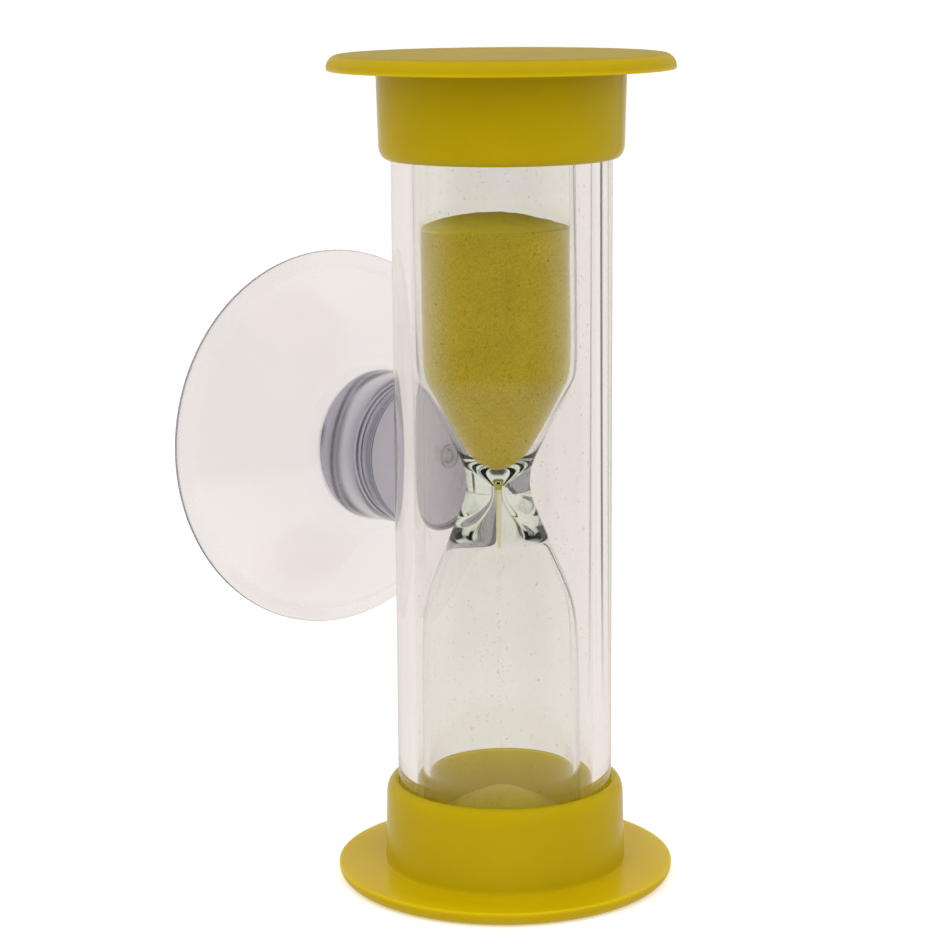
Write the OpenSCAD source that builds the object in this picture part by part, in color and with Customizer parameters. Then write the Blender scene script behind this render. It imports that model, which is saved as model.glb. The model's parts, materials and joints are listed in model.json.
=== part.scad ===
// Sand timer that stands on either cap or hangs from a suction cup.
// A blown glass bulb with sand stands in a clear rigid tube. The tube is closed
// by two flanged caps, and the suction cup turns on a pin through the tube wall.
// Millimetres. The origin is the centre of the base face, +Z is up, and the
// suction cup points towards +Y.

/* [Overall] */
// Height from the base face to the top face
total_h = 91.8; // [90:0.1:96]

/* [Caps] */
// Radius of the flange of each cap
flange_r = 18.8; // [17:0.1:22]
// Thickness of the flange
flange_t = 1.7; // [1.5:0.1:2.5]
// Radius of the rounding along the outer edge of the flange
flange_round = 1.4; // [0.4:0.1:1.4]
// Radius of the skirt where it meets the flange
skirt_root_r = 13.5; // [13.3:0.05:15]
// Radius of the skirt at its rim
skirt_rim_r = 13.3; // [13.2:0.05:14.5]
// Height of the rounding along the outer edge of the rim
rim_round_h = 1.6; // [0.5:0.1:2]
// Chamfer along the inner edge of the rim
rim_chamfer = 0.2; // [0.1:0.05:0.2]
// Height of each cap, flange included
cap_h = 11.2; // [9:0.1:14]

/* [Tube] */
// Outer radius of the clear tube
tube_r = 12; // [11.9:0.05:12]
// Wall thickness of the clear tube
tube_wall = 2.1; // [1.6:0.1:2.1]

/* [Bulb] */
// Outer radius of the two glass chambers
chamber_r = 8.9; // [8.4:0.05:8.9]
// Thickness of the glass along the chambers
glass_t = 0.55; // [0.4:0.05:0.8]
// Outer radius of the waist between the chambers
waist_r = 3.45; // [2.8:0.05:3.6]
// Radius of the bore that the sand falls through
neck_bore_r = 0.5; // [0.45:0.05:0.6]
// Height of the bore above the base face
neck_z = 44.35; // [43:0.05:46]
// Height over which each chamber narrows to the waist
shoulder_h = 12.8; // [12:0.1:15]
// Height of the rounded end of each chamber
bulb_end_h = 4.8; // [4:0.1:4.8]
// Distance of the foot of the bulb from the axis of the tube
bulb_offset = 0.25; // [0:0.05:0.3]
// Angle by which the loose bulb leans in the tube
bulb_lean = 0.4; // [0:0.05:0.4]
// Direction of the lean, as an angle from +X
bulb_lean_dir = 140; // [0:5:355]

/* [Sand] */
// Height of the edge of the sand in the upper chamber
upper_sand_z = 73.3; // [62:0.1:80]
// Rise of the middle of the upper sand above its edge
upper_sand_rise = 1.4; // [0.2:0.1:3]
// Height of the edge of the fallen sand
lower_sand_z = 6.7; // [6.7:0.1:14]
// Rise of the heap of fallen sand above its edge
lower_sand_rise = 3.5; // [1:0.1:4]
// Radius of the falling stream
stream_r = 0.44; // [0.2:0.05:0.44]

/* [Suction cup] */
// Radius of the dish
dish_r = 22.3; // [20:0.1:24]
// Distance of the rim's face from the axis of the tube
rim_reach = 32.5; // [31:0.1:34]
// Depth of the hollow of the dish
dish_depth = 8; // [7:0.1:8.5]
// Thickness of the dish at its rim
dish_rim_t = 1.2; // [1:0.1:1.6]
// Thickness of the dish next to the boss
dish_root_t = 2.6; // [1.8:0.1:3]
// Radius of the boss
boss_r = 8.7; // [7:0.1:8.7]
// Distance of the boss's face from the axis of the tube
boss_reach = 12.7; // [12.7:0.05:13.2]
// Thickness of the head of the boss
boss_head_t = 1.6; // [1.2:0.1:2]
// Depth of the groove behind the head of the boss
groove_depth = 0.6; // [0.3:0.1:1]
// Height at which the cup's axis crosses the axis of the tube
pivot_z = 46.9; // [45:0.1:49]
// Angle by which the cup's axis droops away from the tube
cup_droop = 2.3; // [0:0.1:3.3]

/* [Pin] */
// Radius of the shank of the pin
pin_r = 0.9; // [0.7:0.05:1.2]
// Radius of the head of the pin
pin_head_r = 1.4; // [1.35:0.05:1.8]
// Distance from the axis of the tube to the seat of the pin's head in the tube wall
pin_seat_reach = 11.3; // [11:0.1:11.4]
// Radial running clearance between the pin and the hole in the tube
pin_clear = 0.05; // [0.02:0.01:0.1]

/* [Hidden] */
$fn = 96;

// gaps between solids that would otherwise share a face
fit_gap = 0.08;
end_gap = 0.1;
sand_gap = 0.05;
press_gap = 0.02;

// tube and caps
cap_bore_r = tube_r + fit_gap;
tube_bore_r = tube_r - tube_wall;
tube_z0 = flange_t + fit_gap;
tube_z1 = total_h - flange_t - fit_gap;
rim_round_w = skirt_rim_r - cap_bore_r - rim_chamfer;

// Each half of the bulb runs from the bore to the end of a chamber. Its shape is
// [side, end height, cone radius at the bore's height, softness of the shoulder,
// half length of the bore, steepness of the flare next to the bore, power of the flare].
upper_half = [1, total_h - flange_t - 4 * end_gap, 2.15, 0.5, 0.55, 1.0, 1];
lower_half = [-1, flange_t + end_gap, 3.15, 1.2, 0, 0.146, 2];
waist_soft = 0.6;
flare_soft = 0.6;
bore_soft = 0.3;
path_steps = 30;

// sharpness of the tops of the sand: small is a cone, large is a dome
heap_soft = 0.25;
dome_soft = 1;
stream_top = neck_z + 0.2;

// suction cup, measured along its axis from the axis of the tube
edge_round = 0.4;
groove_reach = boss_reach + boss_head_t;
groove_w = 1;
fillet_r = 1.8;
rim_land = 1.3;
hollow_r = dish_r - edge_round - rim_land;

// pin, measured along the same axis
pin_head_t = 0.9;
pin_head_reach = pin_seat_reach - press_gap;
pin_end_reach = boss_reach + 5;

// points of an elliptical arc around (cx, cy), both ends included
function arc(cx, cy, rx, ry, a0, a1, steps) =
    [for (i = [0 : steps])
        let (a = a0 + (a1 - a0) * i / steps)
        [cx + rx * cos(a), cy + ry * sin(a)]];

// the smaller and the larger of two values, blended over the width k
function soft_min(a, b, k) = (a + b - sqrt(pow(a - b, 2) + k * k)) / 2;
function soft_max(a, b, k) = (a + b + sqrt(pow(a - b, 2) + k * k)) / 2;

// distance from the bore to where the rounded end of a half begins
function straight_len(half) = abs(half[1] - neck_z) - bulb_end_h;

// radius of a half's cone at the distance d from the bore, without the rounding
function cone_r(half, d) = half[2] + (chamber_r - half[2]) * d / shoulder_h;

// radius of the outside of the glass at the distance d from the bore
function glass_r(half, d) =
    soft_min(chamber_r, soft_max(waist_r, cone_r(half, d), waist_soft), half[3]);

// radius of the cavity at the distance d from the bore
function cavity_r(half, d) =
    let (chamber = soft_min(chamber_r - glass_t, cone_r(half, d) - glass_t, half[3]),
         flare = neck_bore_r + half[5] * pow(max(0, d - half[4]), half[6]))
    max(neck_bore_r, soft_max(neck_bore_r, soft_min(chamber, flare, flare_soft), bore_soft) - bore_soft / 2);

// distances from the bore, close together where the glass curves most
function path_d(half, i) = straight_len(half) * pow(i / path_steps, 1.6);

// outlines of half of the glass and of half of the cavity, from the bore to the axis
function glass_path(half) = concat(
    [for (i = [0 : path_steps - 1])
        let (d = path_d(half, i))
        [glass_r(half, d), neck_z + half[0] * d]],
    arc(0, half[1] - half[0] * bulb_end_h, chamber_r, half[0] * bulb_end_h, 0, 90, 12));
function cavity_path(half) = concat(
    [for (i = [0 : path_steps - 1])
        let (d = path_d(half, i))
        [cavity_r(half, d), neck_z + half[0] * d]],
    arc(0, half[1] - half[0] * bulb_end_h, chamber_r - glass_t,
        half[0] * (bulb_end_h - glass_t), 0, 90, 12));

// reverses a list of points
function reversed(points) = [for (i = [len(points) - 1 : -1 : 0]) points[i]];

// rise of a heap at the fraction t of its radius, 1 in the middle and 0 at the edge
function heap(t, soft) = (sqrt(1 + soft * soft) - sqrt(t * t + soft * soft)) / (sqrt(1 + soft * soft) - soft);

// top surface of a body of sand, from its edge to the axis
function sand_top(r, z, rise, soft, steps = 14) =
    [for (i = [0 : steps])
        let (t = 1 - i / steps)
        [r * t, z + rise * heap(t, soft)]];

// hollow side of the suction cup's dish, and its thickness, at the radius r
function hollow_u(r) = rim_reach - dish_depth * (1 - pow(r / hollow_r, 2));
function dish_t(r) = dish_root_t + (dish_rim_t - dish_root_t) * (r - boss_r) / (dish_r - boss_r);
function back_u(r) = hollow_u(min(r, hollow_r)) - dish_t(r) + max(0, r - hollow_r) * 0.25;

// one flanged cap, standing on its outer face
module cap() {
    rotate_extrude()
        polygon(concat(
            [[0, 0]],
            arc(flange_r - flange_round, flange_round, flange_round, flange_round, -90, 0, 8),
            [[flange_r, flange_t], [skirt_root_r, flange_t]],
            arc(skirt_rim_r - rim_round_w, cap_h - rim_round_h, rim_round_w, rim_round_h, 0, 90, 8),
            [[cap_bore_r, cap_h - rim_chamfer], [cap_bore_r, flange_t], [0, flange_t]]));
}

// places a shape that is drawn along +Z on the drooping axis of the cup
module on_cup_axis() {
    translate([0, 0, pivot_z])
        rotate([-90 - cup_droop, 0, 0])
            children();
}

// places the bulb and the sand, which lean together in the tube
module leaning() {
    rotate([0, 0, bulb_lean_dir])
        translate([bulb_offset, 0, 0])
            rotate([0, bulb_lean, 0])
                children();
}

module lower_cap() {
    color([0.76, 0.66, 0.09])
        cap();
}

module upper_cap() {
    color([0.70, 0.61, 0.08])
        translate([0, 0, total_h])
            mirror([0, 0, 1])
                cap();
}

module outer_tube() {
    color([0.93, 0.93, 0.93, 0.3])
        difference() {
            translate([0, 0, tube_z0])
                cylinder(r = tube_r, h = tube_z1 - tube_z0);
            translate([0, 0, tube_z0 - 1])
                cylinder(r = tube_bore_r, h = tube_z1 - tube_z0 + 2);
            on_cup_axis() {
                cylinder(r = pin_r + pin_clear, h = tube_r + 2);
                cylinder(r = pin_head_r + pin_clear, h = pin_seat_reach);
            }
        }
}

module glass_bulb() {
    color([0.85, 0.92, 0.88, 0.35])
        leaning()
            rotate_extrude()
                polygon(concat(
                    reversed(glass_path(lower_half)),
                    [for (i = [1 : len(glass_path(upper_half)) - 1]) glass_path(upper_half)[i]],
                    reversed(cavity_path(upper_half)),
                    [for (i = [1 : len(cavity_path(lower_half)) - 1]) cavity_path(lower_half)[i]]));
}

module upper_sand() {
    depth = upper_sand_z - neck_z;
    color([0.68, 0.60, 0.22])
        leaning()
            rotate_extrude()
                polygon(concat(
                    [[0, stream_top + sand_gap]],
                    [for (i = [0 : path_steps])
                        let (d = 0.25 + (depth - 0.25) * pow(i / path_steps, 1.6))
                        [cavity_r(upper_half, d) - sand_gap, neck_z + d]],
                    sand_top(cavity_r(upper_half, depth) - 2 * sand_gap, upper_sand_z + sand_gap,
                             upper_sand_rise, dome_soft)));
}

module sand_stream() {
    foot = lower_sand_z + lower_sand_rise + sand_gap;
    color([0.85, 0.80, 0.45])
        leaning()
            translate([0, 0, foot])
                cylinder(r = stream_r, h = stream_top - foot);
}

module lower_sand() {
    end_z = lower_half[1] + glass_t + sand_gap;
    sand_r = cavity_r(lower_half, straight_len(lower_half)) - sand_gap;
    color([0.62, 0.54, 0.20])
        leaning()
            rotate_extrude()
                polygon(concat(
                    arc(0, lower_half[1] + bulb_end_h, sand_r, bulb_end_h - glass_t - sand_gap, -90, 0, 12),
                    sand_top(sand_r, lower_sand_z, lower_sand_rise, heap_soft)));
}

module suction_cup() {
    fillet_u = back_u(boss_r + fillet_r) - fillet_r;
    color([0.90, 0.88, 0.89, 0.35])
        on_cup_axis()
            difference() {
                rotate_extrude()
                    polygon(concat(
                        [[0, boss_reach]],
                        arc(boss_r - edge_round, boss_reach + edge_round, edge_round, edge_round, -90, 0, 4),
                        [[boss_r, groove_reach], [boss_r - groove_depth, groove_reach + groove_depth],
                         [boss_r - groove_depth, groove_reach + groove_depth + groove_w],
                         [boss_r, groove_reach + 2 * groove_depth + groove_w]],
                        arc(boss_r + fillet_r, fillet_u, fillet_r, fillet_r, 180, 90, 6),
                        [for (i = [1 : 10])
                            let (r = boss_r + fillet_r + (dish_r - edge_round - boss_r - fillet_r) * i / 10)
                            [r, back_u(r)]],
                        arc(dish_r - edge_round, rim_reach - edge_round, edge_round, edge_round, 0, 90, 4),
                        [for (i = [0 : 14])
                            let (r = hollow_r * (1 - i / 14))
                            [r, hollow_u(r)]]));
                translate([0, 0, boss_reach - 1])
                    cylinder(r = pin_r + press_gap, h = pin_end_reach - boss_reach + 1 + end_gap);
            }
}

module pivot_pin() {
    color([0.85, 0.85, 0.88])
        on_cup_axis() {
            translate([0, 0, pin_head_reach - pin_head_t])
                cylinder(r = pin_head_r, h = pin_head_t);
            translate([0, 0, pin_head_reach - pin_head_t / 2])
                cylinder(r = pin_r, h = pin_end_reach - pin_head_reach + pin_head_t / 2);
        }
}

lower_cap();
upper_cap();
outer_tube();
glass_bulb();
upper_sand();
sand_stream();
lower_sand();
suction_cup();
pivot_pin();
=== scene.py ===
import json
import math
import random
from collections import namedtuple

import bmesh
import bpy
from mathutils import Euler, Matrix, Vector, noise


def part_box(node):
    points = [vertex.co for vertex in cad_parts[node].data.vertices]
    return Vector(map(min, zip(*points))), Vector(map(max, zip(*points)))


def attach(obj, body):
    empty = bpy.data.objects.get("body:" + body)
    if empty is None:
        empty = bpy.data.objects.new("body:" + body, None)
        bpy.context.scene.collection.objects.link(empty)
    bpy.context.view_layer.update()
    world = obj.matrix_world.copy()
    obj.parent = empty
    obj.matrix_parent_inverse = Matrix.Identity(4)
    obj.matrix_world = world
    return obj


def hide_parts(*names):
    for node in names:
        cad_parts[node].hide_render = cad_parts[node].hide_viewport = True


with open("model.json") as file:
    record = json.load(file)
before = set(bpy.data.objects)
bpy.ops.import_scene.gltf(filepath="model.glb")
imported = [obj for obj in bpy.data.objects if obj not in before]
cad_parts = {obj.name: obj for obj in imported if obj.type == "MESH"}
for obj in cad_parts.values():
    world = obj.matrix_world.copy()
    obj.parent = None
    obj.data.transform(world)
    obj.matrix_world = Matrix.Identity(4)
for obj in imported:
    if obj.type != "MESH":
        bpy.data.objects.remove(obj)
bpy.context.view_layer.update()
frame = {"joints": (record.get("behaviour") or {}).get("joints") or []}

MM = 0.001

# ---------------------------------------------------------------- sizes, from the frame

LOWER_CAP_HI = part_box("lower_cap")[1]
TUBE_LO, TUBE_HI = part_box("outer_tube")

TOTAL_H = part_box("upper_cap")[1].z
FLANGE_R = LOWER_CAP_HI.x
CAP_H = LOWER_CAP_HI.z
TUBE_R = TUBE_HI.x

# ---------------------------------------------------------------- sizes, as the CAD part has them

FLANGE_T = 1.7 * MM
FLANGE_ROUND = 1.4 * MM
SKIRT_ROOT_R = 13.5 * MM
SKIRT_RIM_R = 13.3 * MM
RIM_ROUND_H = 1.6 * MM
RIM_CHAMFER = 0.2 * MM
FIT_GAP = 0.08 * MM
TUBE_WALL = 2.1 * MM

CHAMBER_R = 8.9 * MM
GLASS_T = 0.55 * MM
WAIST_R = 3.45 * MM
NECK_BORE_R = 0.5 * MM
NECK_Z = 44.35 * MM
SHOULDER_H = 12.8 * MM
BULB_END_H = 4.8 * MM
BULB_OFFSET = 0.25 * MM
BULB_LEAN = math.radians(0.4)
BULB_LEAN_DIR = math.radians(140)
END_GAP = 0.1 * MM
WAIST_SOFT = 0.6 * MM
FLARE_SOFT = 0.6 * MM
BORE_SOFT = 0.3 * MM

UPPER_SAND_Z = 73.3 * MM
UPPER_SAND_RISE = 1.4 * MM
LOWER_SAND_Z = 6.7 * MM
LOWER_SAND_RISE = 3.5 * MM
STREAM_R = 0.44 * MM
SAND_GAP = 0.05 * MM

DISH_R = 22.3 * MM
RIM_REACH = 32.5 * MM
DISH_DEPTH = 8 * MM
DISH_RIM_T = 1.2 * MM
DISH_ROOT_T = 2.6 * MM
BOSS_R = 8.7 * MM
BOSS_REACH = 12.7 * MM
BOSS_HEAD_T = 1.6 * MM
GROOVE_DEPTH = 0.6 * MM
GROOVE_W = 1 * MM
EDGE_ROUND = 0.4 * MM
FILLET_R = 1.8 * MM
RIM_LAND = 1.3 * MM
HOLLOW_R = DISH_R - EDGE_ROUND - RIM_LAND

PIN_R = 0.9 * MM
PIN_HEAD_R = 1.4 * MM
PIN_HEAD_T = 0.9 * MM
PIN_SEAT = 11.3 * MM
PIN_DEPTH = 5 * MM

# One half of the bulb. side is 1 above the waist and -1 below it, cone_r the radius of the
# cone at the waist and shoulder_soft the softness of the shoulder. The bore is straight for
# bore_half and then widens by flare mm times the flare_power power of the distance in mm.
Half = namedtuple("Half", "side end_z cone_r shoulder_soft bore_half flare flare_power")
UPPER_HALF = Half(1, TOTAL_H - FLANGE_T - 4 * END_GAP, 2.15 * MM, 0.5 * MM, 0.55 * MM, 1.0, 1)
LOWER_HALF = Half(-1, FLANGE_T + END_GAP, 3.15 * MM, 1.2 * MM, 0, 0.146, 2)

JOINT = frame["joints"][0]
PIVOT = Vector(JOINT["pos_m"])
CUP_AXIS = Vector(JOINT["axis"]).normalized()

# ---------------------------------------------------------------- sizes, of the finer shapes

AXIS_R = 1e-7  # nearer to the axis than this, a ring of points is a single point
FOOT_ROUND = 0.15 * MM
FLANGE_WAVE = 0.03 * MM
TUBE_EDGE = 0.15 * MM

BORE_CLEAR = 0.02 * MM
BORE_DEPTH = 5.1 * MM
GROOVE_EDGE = 0.2 * MM
GROOVE_EASE = 0.1 * MM
LAND_SLOPE = 0.25
PIN_EDGE = 0.18 * MM
PIN_TIP = 0.3 * MM

# the upper sand slopes down towards the side that LEFT names
UPPER_SAND_LEAN = 0.03
LEFT = Vector((-0.77, 0.64, 0))
SAND_FUNNEL_START = 0.25 * MM
ROUGH_SCALE = 900
CROWDING = 1.6  # points of an outline stand closer together near the waist

STREAM_START = 0.2 * MM
STREAM_CORE_H = 6.5 * MM
STREAM_WAVE = 0.06
STREAM_WAVES = 19
GRAINS_START = 5 * MM
GRAIN_R = (0.03 * MM, 0.06 * MM)
GRAIN_COUNT = 220

# ---------------------------------------------------------------- tones

# each pair is the darker and the lighter tone of a slightly cloudy colour
CAP_TONES = ((0.425, 0.31, 0.001), (0.455, 0.335, 0.0015))
# painted light: the flange's skirt side is coloured lighter than the rest of the cap
FLANGE_PAINTED_LIGHT_TONES = ((0.55, 0.40, 0.0012), (0.58, 0.43, 0.0018))
# painted light: the bore, which shows through the tube, is coloured far lighter than the cap
CAP_BORE_PAINTED_LIGHT_TONES = ((0.90, 0.69, 0.003), (0.96, 0.74, 0.005))
TUBE_TONES = ((0.935, 0.925, 0.915), (0.97, 0.965, 0.955))
GLASS_TONES = ((0.985, 0.99, 0.985), (1.0, 1.0, 1.0))
SAND_TONES = ((0.54, 0.395, 0.017), (0.80, 0.615, 0.055))
# painted light: the free top of the upper sand, in the cap's shade, is coloured lighter
SAND_TOP_PAINTED_LIGHT_TONES = ((0.92, 0.70, 0.03), (1.0, 0.86, 0.08))
FALLING_TONES = ((0.85, 0.78, 0.42), (0.98, 0.92, 0.6))
SOFT_TONES = ((0.965, 0.95, 0.96), (0.995, 0.98, 0.985))
PIN_TONES = ((0.80, 0.80, 0.83), (0.9, 0.9, 0.92))
# painted shade: the boss is coloured darker and more lilac than the dish, which is the same plastic
BOSS_FACE_PAINTED_SHADE = (0.40, 0.39, 0.43)
BOSS_ROOT_PAINTED_SHADE = (0.34, 0.33, 0.38)

# alpha of the falling sand at the heap and at the waist
FALLING_ALPHA = (0.2, 0.5)
CLEAR_IOR = 1.5

# ---------------------------------------------------------------- studio values

# what the studio shows behind the object, at its sides and on the camera's side, and the
# dark room that shiny faces mirror there
BACK_TONE = (0.91, 0.865, 0.825)
MIDDLE_TONE = (0.6, 0.58, 0.57)
FRONT_TONE = (0.5, 0.5, 0.51)
ROOM_TONE = (0.05, 0.05, 0.05)

# where the dark stand begins and ends, as tangents to the right of straight behind
DARK_STAND = (0.62, 0.82)
STAND_TONE = 0.12
STAND_EDGE = 0.2

FLOOR_HALF = 6
FLOOR_DROP = 0.05 * MM
FLOOR_FALLOFF = (0.07, 0.17)
FLOOR_GLOW = 0.3

# name, degrees to the right of the camera, elevation, distance, width, height, watts
LAMPS = (
    ("key", -37, 18, 0.6, 0.42, 0.7, 1.3),
    ("fill", 37, 18, 0.6, 0.42, 0.7, 1.1),
    ("top", 0, 52, 0.7, 0.5, 0.5, 0.9),
)
MAX_BOUNCES = 24
MAX_SEE_THROUGH = 16

# ---------------------------------------------------------------- camera

CAM_AZIMUTH = math.radians(-39.1)
CAM_DISTANCE = 0.2902
CAM_HEIGHT = 0.10316
CAM_PITCH = math.radians(11.19)
CAM_YAW = math.radians(0.616)
CAM_ROLL = math.radians(0.417)
CAM_CLIP = (0.01, 50)
SENSOR_W = 36.0
LENS = 101.49


def make_camera():
    data = bpy.data.cameras.new("camera")
    data.sensor_width = SENSOR_W
    data.lens = LENS
    data.clip_start, data.clip_end = CAM_CLIP
    cam = bpy.data.objects.new("camera", data)
    bpy.context.scene.collection.objects.link(cam)
    x = math.sin(CAM_AZIMUTH) * CAM_DISTANCE
    y = -math.cos(CAM_AZIMUTH) * CAM_DISTANCE
    turn = (
        Matrix.Rotation(CAM_AZIMUTH + CAM_YAW, 4, "Z")
        @ Matrix.Rotation(-CAM_PITCH, 4, "X")
        @ Matrix.Rotation(CAM_ROLL, 4, "Y")
        @ Matrix.Rotation(math.radians(90), 4, "X")
    )
    cam.matrix_world = Matrix.Translation((x, y, CAM_HEIGHT)) @ turn
    bpy.context.scene.camera = cam


make_camera()

# ---------------------------------------------------------------- outlines


def evenly(start, end, steps):
    """Values from start to end, both included."""
    return [start + (end - start) * i / steps for i in range(steps + 1)]


def arc(cx, cy, rx, ry, start, end, steps):
    """Points of an elliptical arc between two angles in degrees, both included."""
    angles = [math.radians(angle) for angle in evenly(start, end, steps)]
    return [(cx + rx * math.cos(a), cy + ry * math.sin(a)) for a in angles]


def round_arc(cx, cy, r, start, end, steps):
    return arc(cx, cy, r, r, start, end, steps)


def soft_min(a, b, k):
    return (a + b - math.sqrt((a - b) ** 2 + k * k)) / 2


def soft_max(a, b, k):
    return (a + b + math.sqrt((a - b) ** 2 + k * k)) / 2


def straight_len(half):
    """Height of a chamber from the waist to the start of its round end."""
    return abs(half.end_z - NECK_Z) - BULB_END_H


def cone_r(half, d):
    return half.cone_r + (CHAMBER_R - half.cone_r) * d / SHOULDER_H


def glass_r(half, d):
    """Outer radius of the glass at a distance from the waist."""
    cone = soft_max(WAIST_R, cone_r(half, d), WAIST_SOFT)
    return soft_min(CHAMBER_R, cone, half.shoulder_soft)


def cavity_r(half, d):
    """Inner radius of the glass at a distance from the waist."""
    chamber = soft_min(CHAMBER_R - GLASS_T, cone_r(half, d) - GLASS_T, half.shoulder_soft)
    beyond_bore = max(0, d - half.bore_half) / MM
    flare = NECK_BORE_R + half.flare * beyond_bore**half.flare_power * MM
    blended = soft_max(NECK_BORE_R, soft_min(chamber, flare, FLARE_SOFT), BORE_SOFT)
    return max(NECK_BORE_R, blended - BORE_SOFT / 2)


def half_path(half, radius, end_r, end_h, steps=110):
    """Outline of one half of the bulb, from the waist to the axis."""
    points = []
    for t in evenly(0, 1, steps)[:-1]:
        d = straight_len(half) * t**CROWDING
        points.append((radius(half, d), NECK_Z + half.side * d))
    round_end = half.end_z - half.side * BULB_END_H
    return points + arc(0, round_end, end_r, half.side * end_h, 0, 90, 28)


def heap(t, soft):
    """Profile of a cone with a soft tip, 1 on the axis and 0 at the edge, where t is 1."""
    full = math.sqrt(1 + soft * soft)
    return (full - math.sqrt(t * t + soft * soft)) / (full - soft)


def hollow_u(r):
    """Reach of the cup's hollow side."""
    return RIM_REACH - DISH_DEPTH * (1 - (r / HOLLOW_R) ** 2)


def back_u(r):
    """Reach of the cup's back, which the thickness of the dish parts from the hollow."""
    thick = DISH_ROOT_T + (DISH_RIM_T - DISH_ROOT_T) * (r - BOSS_R) / (DISH_R - BOSS_R)
    return hollow_u(min(r, HOLLOW_R)) - thick + max(0, r - HOLLOW_R) * LAND_SLOPE


# ---------------------------------------------------------------- meshes


def add_object(name, mesh):
    obj = bpy.data.objects.new(name, mesh)
    bpy.context.scene.collection.objects.link(obj)
    return obj


def finish_mesh(name, bm, sharp):
    mesh = bpy.data.meshes.new(name)
    bm.to_mesh(mesh)
    bm.free()
    mesh.shade_smooth()
    mesh.set_sharp_from_angle(angle=math.radians(sharp))
    return add_object(name, mesh)


def lathe(name, outline, turns=192, closed=False, sharp=32, wobble=None, extra=None):
    """A turned solid. outline is (radius, height) points, up the outside and down the inside.
    wobble(x, y, z) returns a small shift of each point, and extra(bm) adds to the mesh."""
    bm = bmesh.new()
    rings = []
    for r, z in outline:
        if r < AXIS_R:
            rings.append([bm.verts.new((0, 0, z))])
            continue
        ring = []
        for j in range(turns):
            a = 2 * math.pi * j / turns
            ring.append(bm.verts.new((r * math.cos(a), r * math.sin(a), z)))
        rings.append(ring)
    pairs = list(zip(rings, rings[1:]))
    if closed:
        pairs.append((rings[-1], rings[0]))
    for low, high in pairs:
        for j in range(turns):
            k = (j + 1) % turns
            if len(low) == 1 and len(high) == 1:
                break
            if len(low) == 1:
                bm.faces.new((low[0], high[k], high[j]))
            elif len(high) == 1:
                bm.faces.new((low[j], low[k], high[0]))
            else:
                bm.faces.new((low[j], low[k], high[k], high[j]))
    if wobble:
        for v in bm.verts:
            v.co += Vector(wobble(v.co.x, v.co.y, v.co.z))
    if extra:
        extra(bm)
    return finish_mesh(name, bm, sharp)


def cap_outline():
    rim_w = SKIRT_RIM_R - TUBE_R - FIT_GAP - RIM_CHAMFER
    bore_r = TUBE_R + FIT_GAP
    return (
        [(0, 0), (FLANGE_R * 0.5, 0)]
        + round_arc(FLANGE_R - FLANGE_ROUND, FLANGE_ROUND, FLANGE_ROUND, -90, 0, 20)
        + round_arc(FLANGE_R - FOOT_ROUND, FLANGE_T - FOOT_ROUND, FOOT_ROUND, 0, 90, 5)
        + [(FLANGE_R * 0.85, FLANGE_T)]
        + round_arc(SKIRT_ROOT_R + FOOT_ROUND, FLANGE_T + FOOT_ROUND, FOOT_ROUND, 270, 180, 5)
        + arc(SKIRT_RIM_R - rim_w, CAP_H - RIM_ROUND_H, rim_w, RIM_ROUND_H, 0, 90, 20)
        + [(bore_r, CAP_H - RIM_CHAMFER), (bore_r, FLANGE_T), (0, FLANGE_T)]
    )


def cap_wobble(x, y, z):
    """A moulding is never quite flat: the flange waves by a few hundredths of a millimetre."""
    r = math.hypot(x, y)
    if r < SKIRT_ROOT_R or not 0.4 * FLANGE_T < z <= FLANGE_T:
        return (0, 0, 0)
    return (0, 0, FLANGE_WAVE * (r / FLANGE_R - 0.7) * math.sin(3 * math.atan2(y, x) + 0.6))


def make_caps():
    lower = lathe("lower_cap_moulding", cap_outline(), wobble=cap_wobble)
    upper = lathe("upper_cap_moulding", cap_outline(), wobble=cap_wobble)
    upper.matrix_world = Matrix.Translation((0, 0, TOTAL_H)) @ Matrix.Rotation(math.pi, 4, "X")
    return lower, upper


def make_tube():
    low, high = TUBE_LO.z, TUBE_HI.z
    bore_r = TUBE_R - TUBE_WALL
    heights = evenly(low + TUBE_EDGE, high - TUBE_EDGE, 60)
    outline = (
        [(TUBE_R - TUBE_EDGE, low)]
        + [(TUBE_R, z) for z in heights]
        + [(TUBE_R - TUBE_EDGE, high), (bore_r + TUBE_EDGE, high)]
        + [(bore_r, z) for z in reversed(heights)]
        + [(bore_r + TUBE_EDGE, low)]
    )
    return lathe("clear_tube", outline, closed=True, turns=256)


def leaning():
    """The loose bulb, and the sand in it, lean a little in the tube."""
    turn = Matrix.Rotation(BULB_LEAN_DIR, 4, "Z")
    return turn @ Matrix.Translation((BULB_OFFSET, 0, 0)) @ Matrix.Rotation(BULB_LEAN, 4, "Y")


def make_bulb():
    outer = (glass_r, CHAMBER_R, BULB_END_H)
    inner = (cavity_r, CHAMBER_R - GLASS_T, BULB_END_H - GLASS_T)
    outside = half_path(LOWER_HALF, *outer)[::-1] + half_path(UPPER_HALF, *outer)[1:]
    cavity = half_path(UPPER_HALF, *inner)[::-1] + half_path(LOWER_HALF, *inner)[1:]
    bulb = lathe("blown_bulb", outside + cavity, turns=224, sharp=60)
    bulb.matrix_world = leaning()
    return bulb


def grains(amount, seed):
    """A shift that roughens the free surface of sand."""
    offset = Vector((seed, 2.7 * seed, -seed))

    def wobble(x, y, z):
        p = Vector((x, y, z)) * ROUGH_SCALE + offset
        return (0, 0, amount * noise.noise(p))

    return wobble


def sand_top(r, z, rise, soft):
    return [(r * t, z + rise * heap(t, soft)) for t in evenly(1, 0, 60)]


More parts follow.
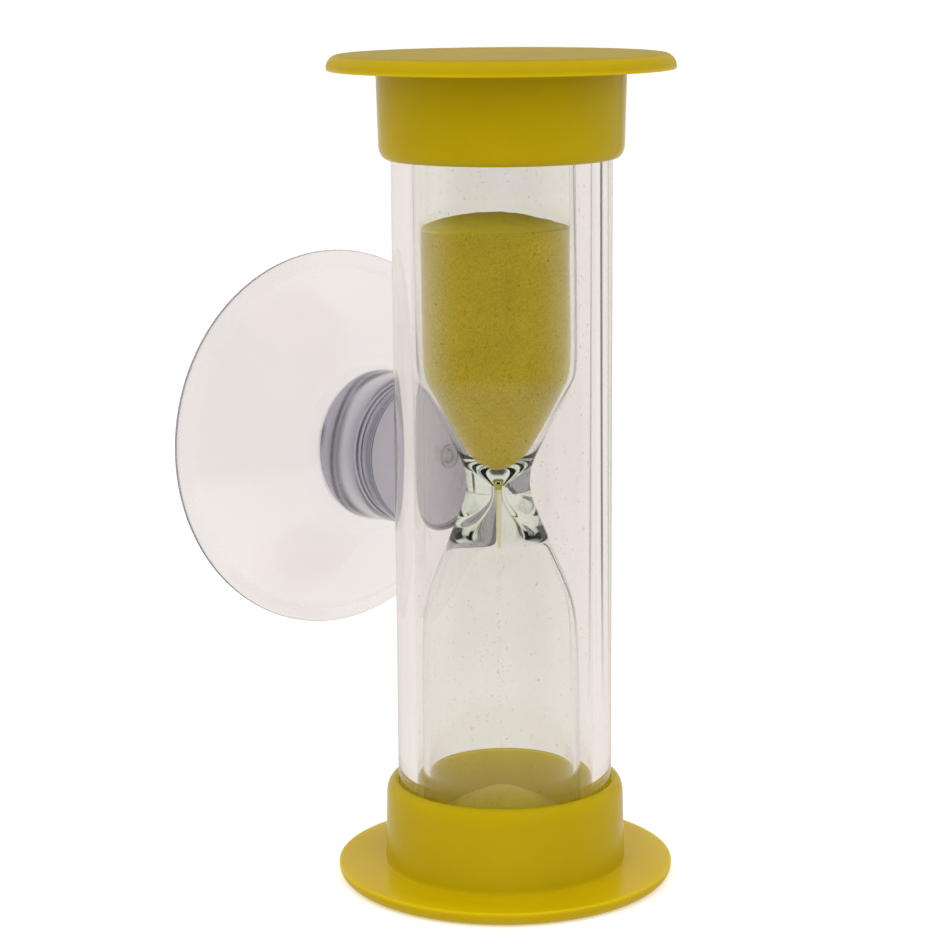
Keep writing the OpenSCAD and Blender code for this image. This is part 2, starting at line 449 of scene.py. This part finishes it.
def make_upper_sand():
    depth = UPPER_SAND_Z - NECK_Z
    wall = [(0, NECK_Z + SAND_FUNNEL_START)]
    for t in evenly(0, 1, 80):
        d = SAND_FUNNEL_START + (depth - SAND_FUNNEL_START) * t**CROWDING
        wall.append((cavity_r(UPPER_HALF, d) - SAND_GAP, NECK_Z + d))
    r = cavity_r(UPPER_HALF, depth) - 2 * SAND_GAP
    top = sand_top(r, UPPER_SAND_Z + SAND_GAP, UPPER_SAND_RISE, 1)
    rough = grains(amount=0.12 * MM, seed=3.1)

    def wobble(x, y, z):
        if z < UPPER_SAND_Z + SAND_GAP / 2:
            return (0, 0, 0)
        lean = UPPER_SAND_LEAN * (x * LEFT.x + y * LEFT.y)
        return (0, 0, rough(x, y, z)[2] - lean)

    sand = lathe("sand_above", wall + top, wobble=wobble, sharp=40)
    sand.matrix_world = leaning()
    return sand


def make_lower_sand():
    r = cavity_r(LOWER_HALF, straight_len(LOWER_HALF)) - SAND_GAP
    bowl_h = BULB_END_H - GLASS_T - SAND_GAP
    bowl = arc(0, LOWER_HALF.end_z + BULB_END_H, r, bowl_h, -90, 0, 24)
    top = sand_top(r, LOWER_SAND_Z, LOWER_SAND_RISE, 0.25)
    rough = grains(amount=0.14 * MM, seed=5.3)

    def wobble(x, y, z):
        if z < LOWER_SAND_Z + 0.01 * MM:
            return (0, 0, 0)
        return rough(x, y, z)

    sand = lathe("sand_heap", bowl + top, wobble=wobble, sharp=40)
    sand.matrix_world = leaning()
    return sand


def add_grains(bm, low, high):
    """Single grains of sand in free fall, sparser towards the bottom."""
    rng = random.Random(7)
    for _ in range(GRAIN_COUNT):
        z = high - (high - low) * rng.random() ** 1.3
        r = (STREAM_R - GRAIN_R[1]) * rng.random() ** 0.5
        a = rng.uniform(0, 2 * math.pi)
        turn = Euler((rng.uniform(0, 3), rng.uniform(0, 3), 0)).to_matrix().to_4x4()
        spot = Matrix.Translation((r * math.cos(a), r * math.sin(a), z))
        size = rng.uniform(*GRAIN_R)
        bmesh.ops.create_icosphere(bm, subdivisions=1, radius=size, matrix=spot @ turn)


def make_stream():
    """A solid thread under the bore that thins to a tip, and single grains from there on."""
    low = LOWER_SAND_Z + LOWER_SAND_RISE + SAND_GAP + GRAIN_R[1]
    head = NECK_Z + STREAM_START
    points = []
    for t in evenly(0, 1, 60):
        wave = 1 - STREAM_WAVE + STREAM_WAVE * math.sin(STREAM_WAVES * t)
        points.append((STREAM_R * t**0.5 * wave, head - STREAM_CORE_H * (1 - t)))
    points.append((0, head))
    stream = lathe(
        "sand_falling",
        points,
        turns=32,
        extra=lambda bm: add_grains(bm, low, head - GRAINS_START),
    )
    stream.matrix_world = leaning()
    return stream


def on_cup_axis():
    """Carries +Z to the cup's axis, which starts on the axis of the tube."""
    turn = Vector((0, 0, 1)).rotation_difference(CUP_AXIS).to_matrix().to_4x4()
    return Matrix.Translation(PIVOT) @ turn


def cup_outline():
    """Distance from the cup's axis and reach along it, from the pin's bore to the hollow."""
    bore_r, bore_end = PIN_R + BORE_CLEAR, BOSS_REACH + BORE_DEPTH
    edge_r = DISH_R - EDGE_ROUND
    groove = BOSS_REACH + BOSS_HEAD_T
    groove_half = GROOVE_DEPTH + GROOVE_W / 2
    root_r = BOSS_R + FILLET_R
    return (
        [(0, bore_end), (bore_r, bore_end), (bore_r, BOSS_REACH)]
        + round_arc(BOSS_R - EDGE_ROUND, BOSS_REACH + EDGE_ROUND, EDGE_ROUND, -90, 0, 8)
        + round_arc(BOSS_R - GROOVE_EDGE, groove - GROOVE_EDGE, GROOVE_EDGE, 0, 70, 4)
        + arc(BOSS_R, groove + groove_half, GROOVE_DEPTH, groove_half - GROOVE_EASE, 250, 110, 14)
        + round_arc(root_r, back_u(root_r) - FILLET_R, FILLET_R, 180, 90, 14)
        + [(r, back_u(r)) for r in evenly(root_r, edge_r, 40)[1:]]
        + round_arc(edge_r, RIM_REACH - EDGE_ROUND, EDGE_ROUND, -60, 90, 12)
        + [(r, hollow_u(r)) for r in evenly(HOLLOW_R, 0, 60)]
    )


def make_cup():
    cup = lathe("soft_suction_cup", cup_outline(), turns=224, sharp=50)
    cup.matrix_world = on_cup_axis()
    return cup


def make_pin():
    """The head has a shallow dimple, and the pin ends with a bevel in the boss."""
    head = PIN_SEAT - 0.02 * MM
    top = head - PIN_HEAD_T
    end = BOSS_REACH + PIN_DEPTH
    dimple = [(0, 0.18), (0.45, 0.12), (0.7, 0.02), (0.8, 0)]
    outline = (
        [(r * MM, top + depth * MM) for r, depth in dimple]
        + round_arc(PIN_HEAD_R - PIN_EDGE, top + PIN_EDGE, PIN_EDGE, -90, 0, 6)
        + [(PIN_HEAD_R, head - 0.05 * MM), (PIN_HEAD_R - 0.05 * MM, head), (PIN_R, head)]
        + [(PIN_R, end - PIN_TIP), (PIN_R - PIN_TIP, end), (0, end)]
    )
    pin = lathe("turning_pin", outline, turns=64, sharp=40)
    pin.matrix_world = on_cup_axis()
    return pin


# ---------------------------------------------------------------- nodes


def as_color(tone):
    """A color with its alpha. tone is a color, or one number for a grey."""
    return (*tone, 1) if isinstance(tone, tuple) else (tone, tone, tone, 1)


def feed(tree, value, socket):
    """Links an output to a socket, or sets a plain value on it."""
    if isinstance(value, bpy.types.NodeSocket):
        tree.links.new(value, socket)
    else:
        socket.default_value = value


def calc(tree, kind, operation, *terms, output="Value"):
    """One step of arithmetic, of the kind Math or VectorMath."""
    made = tree.nodes.new("ShaderNode" + kind)
    made.operation = operation
    for term, socket in zip(terms, made.inputs):
        feed(tree, term, socket)
    return made.outputs[output]


def times(tree, a, b):
    return calc(tree, "Math", "MULTIPLY", a, b)


def along(tree, vector, axis):
    return calc(tree, "VectorMath", "DOT_PRODUCT", vector, axis)


def object_coords(tree):
    return tree.nodes.new("ShaderNodeTexCoord").outputs["Object"]


def height_of(tree, coords):
    return along(tree, coords, (0, 0, 1))


def radius_of(tree, coords):
    """Distance from the upright axis."""
    flat = calc(tree, "VectorMath", "MULTIPLY", coords, (1, 1, 0), output="Vector")
    return calc(tree, "VectorMath", "LENGTH", flat)


def noise_of(tree, coords, scale, detail=2, roughness=0.5, stretch=None):
    if stretch:
        coords = calc(tree, "VectorMath", "MULTIPLY", coords, stretch, output="Vector")
    made = tree.nodes.new("ShaderNodeTexNoise")
    made.inputs["Scale"].default_value = scale
    made.inputs["Detail"].default_value = detail
    made.inputs["Roughness"].default_value = roughness
    tree.links.new(coords, made.inputs["Vector"])
    return made.outputs["Fac"]


def fade(tree, value, start, end, low=0, high=1):
    """low at start to high at end, and no further."""
    made = tree.nodes.new("ShaderNodeMapRange")
    limits = {"From Min": start, "From Max": end, "To Min": low, "To Max": high}
    for name, limit in limits.items():
        made.inputs[name].default_value = limit
    tree.links.new(value, made.inputs["Value"])
    return made.outputs["Result"]


def ramp(tree, value, stops):
    """Carries a value to a tone, by (position, tone) stops."""
    made = tree.nodes.new("ShaderNodeValToRGB")
    elements = made.color_ramp.elements
    while len(elements) < len(stops):
        elements.new(0.5)
    for element, (position, tone) in zip(elements, stops):
        element.position = position
        element.color = as_color(tone)
    tree.links.new(value, made.inputs["Fac"])
    return made.outputs["Color"]


def between(tree, value, tones, start=0.3, end=0.7):
    """Carries a value to the tones between two. A noise rarely leaves 0.3 to 0.7."""
    return ramp(tree, value, [(start, tones[0]), (end, tones[1])])


def mix_colors(tree, factor, a, b, blend="MIX"):
    made = tree.nodes.new("ShaderNodeMix")
    made.data_type = "RGBA"
    made.blend_type = blend
    for name, value in (("Factor", factor), ("A", a), ("B", b)):
        feed(tree, value, made.inputs[name])
    return made.outputs["Result"]


def tinted(tree, a, b):
    return mix_colors(tree, 1.0, a, b, "MULTIPLY")


def bump(tree, height, distance, after=None):
    made = tree.nodes.new("ShaderNodeBump")
    made.inputs["Strength"].default_value = 1.0
    made.inputs["Distance"].default_value = distance
    tree.links.new(height, made.inputs["Height"])
    if after:
        tree.links.new(after, made.inputs["Normal"])
    return made.outputs["Normal"]


# ---------------------------------------------------------------- materials


def new_material(name):
    mat = bpy.data.materials.new(name)
    mat.use_nodes = True
    tree = mat.node_tree
    return mat, tree, tree.nodes["Principled BSDF"]


def set_inputs(tree, shader, inputs):
    for name, value in inputs.items():
        feed(tree, value, shader.inputs[name])


def cap_plastic():
    mat, tree, shader = new_material("yellow_moulded_plastic")
    coords = object_coords(tree)
    height = height_of(tree, coords)
    cloud = noise_of(tree, coords, 90, detail=3)

    # the grained end face is painted darker, a painted shade; the skirt side and edge of the flange
    # are painted lighter, a painted light, and so is the bore, which shows through the tube
    end_face_painted_shade = fade(tree, height, FLANGE_T * 0.02, FLANGE_T * 0.15)
    color = tinted(tree, between(tree, cloud, CAP_TONES), ramp(tree, end_face_painted_shade, [(0, 0.76), (1, 1)]))
    # painted light: lays the lighter flange colour on the flange's skirt side and edge
    over_edge = fade(tree, height, FLANGE_T * 0.75, FLANGE_T * 0.95)
    under_skirt = fade(tree, height, FLANGE_T * 1.35, FLANGE_T * 1.05)
    flange = times(tree, over_edge, under_skirt)
    color = mix_colors(tree, flange, color, between(tree, cloud, FLANGE_PAINTED_LIGHT_TONES))
    # painted light: lays the light bore colour on the walls of the bore
    inside = fade(tree, radius_of(tree, coords), TUBE_R + 0.25 * MM, TUBE_R + 0.15 * MM)
    bore = times(tree, inside, fade(tree, height, 0, FLANGE_T))
    color = mix_colors(tree, bore, color, between(tree, cloud, CAP_BORE_PAINTED_LIGHT_TONES))

    # the flat outer face has a fine spark-eroded grain, the skirt is polished
    outer_face = fade(tree, height, FLANGE_T * 0.98, FLANGE_T * 0.6)
    grain = noise_of(tree, coords, 4500, roughness=0.6)
    polished = between(tree, noise_of(tree, coords, 260), (0.2, 0.27))
    satin = between(tree, grain, (0.42, 0.52))
    flow = bump(tree, noise_of(tree, coords, 120, detail=3, stretch=(1, 1, 0.25)), 0.06 * MM)

    # the walls are thin enough to glow a little with the light behind them
    set_inputs(tree, shader, {
        "Base Color": color,
        "Roughness": mix_colors(tree, outer_face, polished, satin),
        "Normal": bump(tree, times(tree, grain, outer_face), 0.03 * MM, after=flow),
        "IOR": 1.5,
        "Specular IOR Level": 0.08,
        "Subsurface Weight": 0.4,
        "Subsurface Radius": (4 * MM, 3 * MM, 0.8 * MM),
        "Subsurface Scale": 1.0,
    })
    return mat


def make_clear(tree, shader, depth_color, density):
    """A clear piece takes on depth_color through its thickness. The light of the lamps passes
    it straight, so that what is behind it is lit."""
    shader.inputs["Transmission Weight"].default_value = 1
    shader.inputs["IOR"].default_value = CLEAR_IOR
    volume = tree.nodes.new("ShaderNodeVolumeAbsorption")
    volume.inputs["Color"].default_value = as_color(depth_color)
    volume.inputs["Density"].default_value = density
    path = tree.nodes.new("ShaderNodeLightPath")
    straight = tree.nodes.new("ShaderNodeBsdfTransparent")
    mix = tree.nodes.new("ShaderNodeMixShader")
    tree.links.new(path.outputs["Is Shadow Ray"], mix.inputs[0])
    tree.links.new(shader.outputs["BSDF"], mix.inputs[1])
    tree.links.new(straight.outputs["BSDF"], mix.inputs[2])
    output = tree.nodes["Material Output"]
    tree.links.new(mix.outputs["Shader"], output.inputs["Surface"])
    tree.links.new(volume.outputs["Volume"], output.inputs["Volume"])


def clear_plastic():
    """The tube has fine upright streaks, scuffs and a few specks of dust."""
    mat, tree, shader = new_material("clear_rigid_plastic")
    coords = object_coords(tree)
    smear = noise_of(tree, coords, 160, detail=4, stretch=(1, 1, 0.12))
    dust = noise_of(tree, coords, 2400, detail=1)
    scuff = noise_of(tree, coords, 420, detail=5, roughness=0.7, stretch=(1, 1, 0.2))
    ripple = noise_of(tree, coords, 70, stretch=(1, 1, 0.08))
    specks = between(tree, dust, (1.0, 0.6), 0.73, 0.77)
    set_inputs(tree, shader, {
        "Base Color": tinted(tree, between(tree, smear, TUBE_TONES), specks),
        "Roughness": between(tree, scuff, (0.0, 0.09), 0.5, 0.85),
        "Normal": bump(tree, ripple, 0.08 * MM),
        "Specular Tint": as_color(0.6),
    })
    make_clear(tree, shader, (0.35, 0.2, 0.0), 10)
    return mat


def bulb_glass():
    mat, tree, shader = new_material("blown_glass")
    coords = object_coords(tree)
    set_inputs(tree, shader, {
        "Base Color": between(tree, noise_of(tree, coords, 200, detail=3), GLASS_TONES),
        "Roughness": 0.0,
        "Normal": bump(tree, noise_of(tree, coords, 110, stretch=(1, 1, 0.3)), 0.1 * MM),
        "Specular Tint": as_color(0.45),
    })
    make_clear(tree, shader, (0.5, 0.8, 0.5), 30)
    return mat


def sand_material(name, tones):
    """The free top under the upper cap is painted lighter than the sand behind the glass, a painted
    light against the cap's shade.
    """
    mat, tree, shader = new_material(name)
    coords = object_coords(tree)
    # painted light: lays the lighter colour on the free top of the upper sand
    top = fade(tree, height_of(tree, coords), UPPER_SAND_Z - 0.1 * MM, UPPER_SAND_Z + 0.1 * MM)
    grain = noise_of(tree, coords, 5200, roughness=0.7)
    cloud = noise_of(tree, coords, 220, detail=3)
    color = tinted(tree, between(tree, grain, tones), between(tree, cloud, (0.9, 1.0)))
    set_inputs(tree, shader, {
        "Base Color": mix_colors(tree, top, color, between(tree, grain, SAND_TOP_PAINTED_LIGHT_TONES)),
        "Roughness": between(tree, grain, (0.95, 0.75)),
        "Normal": bump(tree, grain, 0.08 * MM),
        "Specular IOR Level": 0.1,
        "Subsurface Weight": 0.35,
        "Subsurface Radius": (2.5 * MM, 2 * MM, 0.8 * MM),
        "Subsurface Scale": 1.0,
    })
    return mat


def falling_sand():
    """Grains that fall blur into a thin veil, thinner farther down."""
    mat = sand_material("falling_sand", FALLING_TONES)
    tree = mat.node_tree
    fallen = fade(tree, height_of(tree, object_coords(tree)), LOWER_SAND_Z, NECK_Z)
    alpha = between(tree, fallen, FALLING_ALPHA, 0, 1)
    tree.links.new(alpha, tree.nodes["Principled BSDF"].inputs["Alpha"])
    return mat


def soft_clear():
    """The solid boss is painted darker and more lilac than the thin dish, a painted shade for its
    thickness, though both are one plastic, and the cut edge of the rim is frosted."""
    mat, tree, shader = new_material("soft_clear_plastic")
    coords = object_coords(tree)
    reach = height_of(tree, coords)
    thin = between(tree, noise_of(tree, coords, 140, detail=3), SOFT_TONES)
    # painted shade: darkens the boss's colour, fading out past the boss
    past_boss = fade(tree, reach, BOSS_REACH, BOSS_REACH + 7 * MM)
    solid = ramp(tree, past_boss, [(0, BOSS_FACE_PAINTED_SHADE), (0.6, BOSS_ROOT_PAINTED_SHADE), (1, 1)])
    haze = noise_of(tree, coords, 300, detail=4, roughness=0.6)
    soft = between(tree, haze, (0.08, 0.18), 0.35, 0.8)
    frost = between(tree, haze, (0.24, 0.34), 0.35, 0.8)
    rim = fade(tree, reach, RIM_REACH - 1.0 * MM, RIM_REACH - 0.6 * MM)
    set_inputs(tree, shader, {
        "Base Color": tinted(tree, thin, solid),
        "Roughness": mix_colors(tree, rim, soft, frost),
        "Normal": bump(tree, noise_of(tree, coords, 60), 0.12 * MM),
    })
    make_clear(tree, shader, (0.0, 0.0, 0.25), 22)
    return mat


def pin_plastic():
    mat, tree, shader = new_material("clear_pin_plastic")
    cloud = noise_of(tree, object_coords(tree), 400)
    set_inputs(tree, shader, {
        "Base Color": between(tree, cloud, PIN_TONES),
        "Roughness": 0.15,
        "Normal": bump(tree, cloud, 0.03 * MM),
        "Transmission Weight": 0.8,
    })
    return mat


# ---------------------------------------------------------------- build


def place(obj, material, body, cad_node):
    obj.data.materials.append(material)
    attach(obj, body)
    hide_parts(cad_node)


plastic = cap_plastic()
sand = sand_material("coloured_sand", SAND_TONES)
lower_cap, upper_cap = make_caps()
place(lower_cap, plastic, "timer", "lower_cap")
place(upper_cap, plastic, "timer", "upper_cap")
place(make_tube(), clear_plastic(), "timer", "outer_tube")
place(make_bulb(), bulb_glass(), "timer", "glass_bulb")
place(make_upper_sand(), sand, "timer", "upper_sand")
place(make_lower_sand(), sand, "timer", "lower_sand")
place(make_stream(), falling_sand(), "timer", "sand_stream")
place(make_cup(), soft_clear(), "cup", "suction_cup")
place(make_pin(), pin_plastic(), "cup", "pivot_pin")

# ---------------------------------------------------------------- studio

RIGHTWARD = (math.cos(CAM_AZIMUTH), math.sin(CAM_AZIMUTH), 0)
BACKWARD = (-math.sin(CAM_AZIMUTH), math.cos(CAM_AZIMUTH), 0)


def with_dark_stand(tree, tones, direction):
    """A dark upright at the back right of the studio, which the tube wall shows as a line."""
    behind = calc(tree, "Math", "MAXIMUM", along(tree, direction, BACKWARD), 0.0001)
    beside = calc(tree, "Math", "DIVIDE", along(tree, direction, RIGHTWARD), behind)
    start, end = DARK_STAND
    edge = (end - start) * STAND_EDGE
    stops = [(start, 1), (start + edge, STAND_TONE), (end - edge, STAND_TONE), (end, 1)]
    return tinted(tree, tones, ramp(tree, beside, stops))


def tones_around(tree, direction):
    """The studio's tones in a direction: as light, and as mirrored by shiny faces."""
    forward = fade(tree, along(tree, direction, BACKWARD), 1, -1)
    light = [(0, BACK_TONE), (0.45, BACK_TONE), (0.7, MIDDLE_TONE), (1, FRONT_TONE)]
    mirrored = [(0, BACK_TONE), (0.55, BACK_TONE), (0.82, ROOM_TONE), (1, ROOM_TONE)]
    return [with_dark_stand(tree, ramp(tree, forward, s), direction) for s in (light, mirrored)]


def seen_as_white(tree, light, mirrored):
    """The set shows as plain white, as behind a cut-out picture. It lights the object in the
    studio's own tones, and what shiny faces mirror of it is the darker room."""
    path = tree.nodes.new("ShaderNodeLightPath")
    by_mirror = fade(tree, path.outputs["Glossy Depth"], 0, 1)
    tones = mix_colors(tree, by_mirror, light, mirrored)
    return mix_colors(tree, path.outputs["Is Camera Ray"], tones, as_color(1))


def make_floor():
    """For the camera the floor is white and takes the shadow, for the rest it glows in its
    tones. It is bright all round close to the object."""
    bm = bmesh.new()
    bmesh.ops.create_grid(bm, x_segments=2, y_segments=2, size=FLOOR_HALF)
    mesh = bpy.data.meshes.new("floor")
    bm.to_mesh(mesh)
    bm.free()
    floor = add_object("floor", mesh)
    floor.location.z = -FLOOR_DROP
    mat, tree, shader = new_material("pale_floor")
    spot = object_coords(tree)
    direction = calc(tree, "VectorMath", "NORMALIZE", spot, output="Vector")
    far = fade(tree, radius_of(tree, spot), *FLOOR_FALLOFF)
    near = as_color(BACK_TONE)
    tones = [mix_colors(tree, far, near, tone) for tone in tones_around(tree, direction)]
    seen = tree.nodes.new("ShaderNodeLightPath").outputs["Is Camera Ray"]
    set_inputs(tree, shader, {
        "Base Color": seen,
        "Roughness": 0.9,
        "Specular IOR Level": 0,
        "Emission Color": seen_as_white(tree, *tones),
        "Emission Strength": fade(tree, seen, 0, 1, low=1, high=FLOOR_GLOW),
    })
    floor.data.materials.append(mat)


def make_world():
    """Bright behind the object, darker on the side that the camera stands on."""
    world = bpy.data.worlds.new("studio")
    world.use_nodes = True
    tree = world.node_tree
    direction = tree.nodes.new("ShaderNodeTexCoord").outputs["Generated"]
    tones = tones_around(tree, direction)
    tree.links.new(seen_as_white(tree, *tones), tree.nodes["Background"].inputs["Color"])
    bpy.context.scene.world = world


def make_lamp(name, right, elevation, distance, width, height, watts):
    """A softbox that looks at the middle of the timer and doesn't show anywhere."""
    data = bpy.data.lights.new(name, "AREA")
    data.shape = "RECTANGLE"
    data.size, data.size_y = width, height
    data.energy = watts
    lamp = bpy.data.objects.new(name, data)
    bpy.context.scene.collection.objects.link(lamp)
    a, e = CAM_AZIMUTH + math.radians(right), math.radians(elevation)
    away = Vector((math.sin(a) * math.cos(e), -math.cos(a) * math.cos(e), math.sin(e)))
    lamp.location = Vector((0, 0, TOTAL_H / 2)) + away * distance
    lamp.rotation_euler = away.to_track_quat("Z", "Y").to_euler()
    lamp.visible_camera = False
    lamp.visible_glossy = False
    lamp.visible_transmission = False


make_floor()
make_world()
for values in LAMPS:
    make_lamp(*values)

scene = bpy.context.scene
scene.view_settings.view_transform = "Standard"
scene.cycles.max_bounces = MAX_BOUNCES
scene.cycles.transmission_bounces = MAX_BOUNCES
scene.cycles.transparent_max_bounces = MAX_SEE_THROUGH
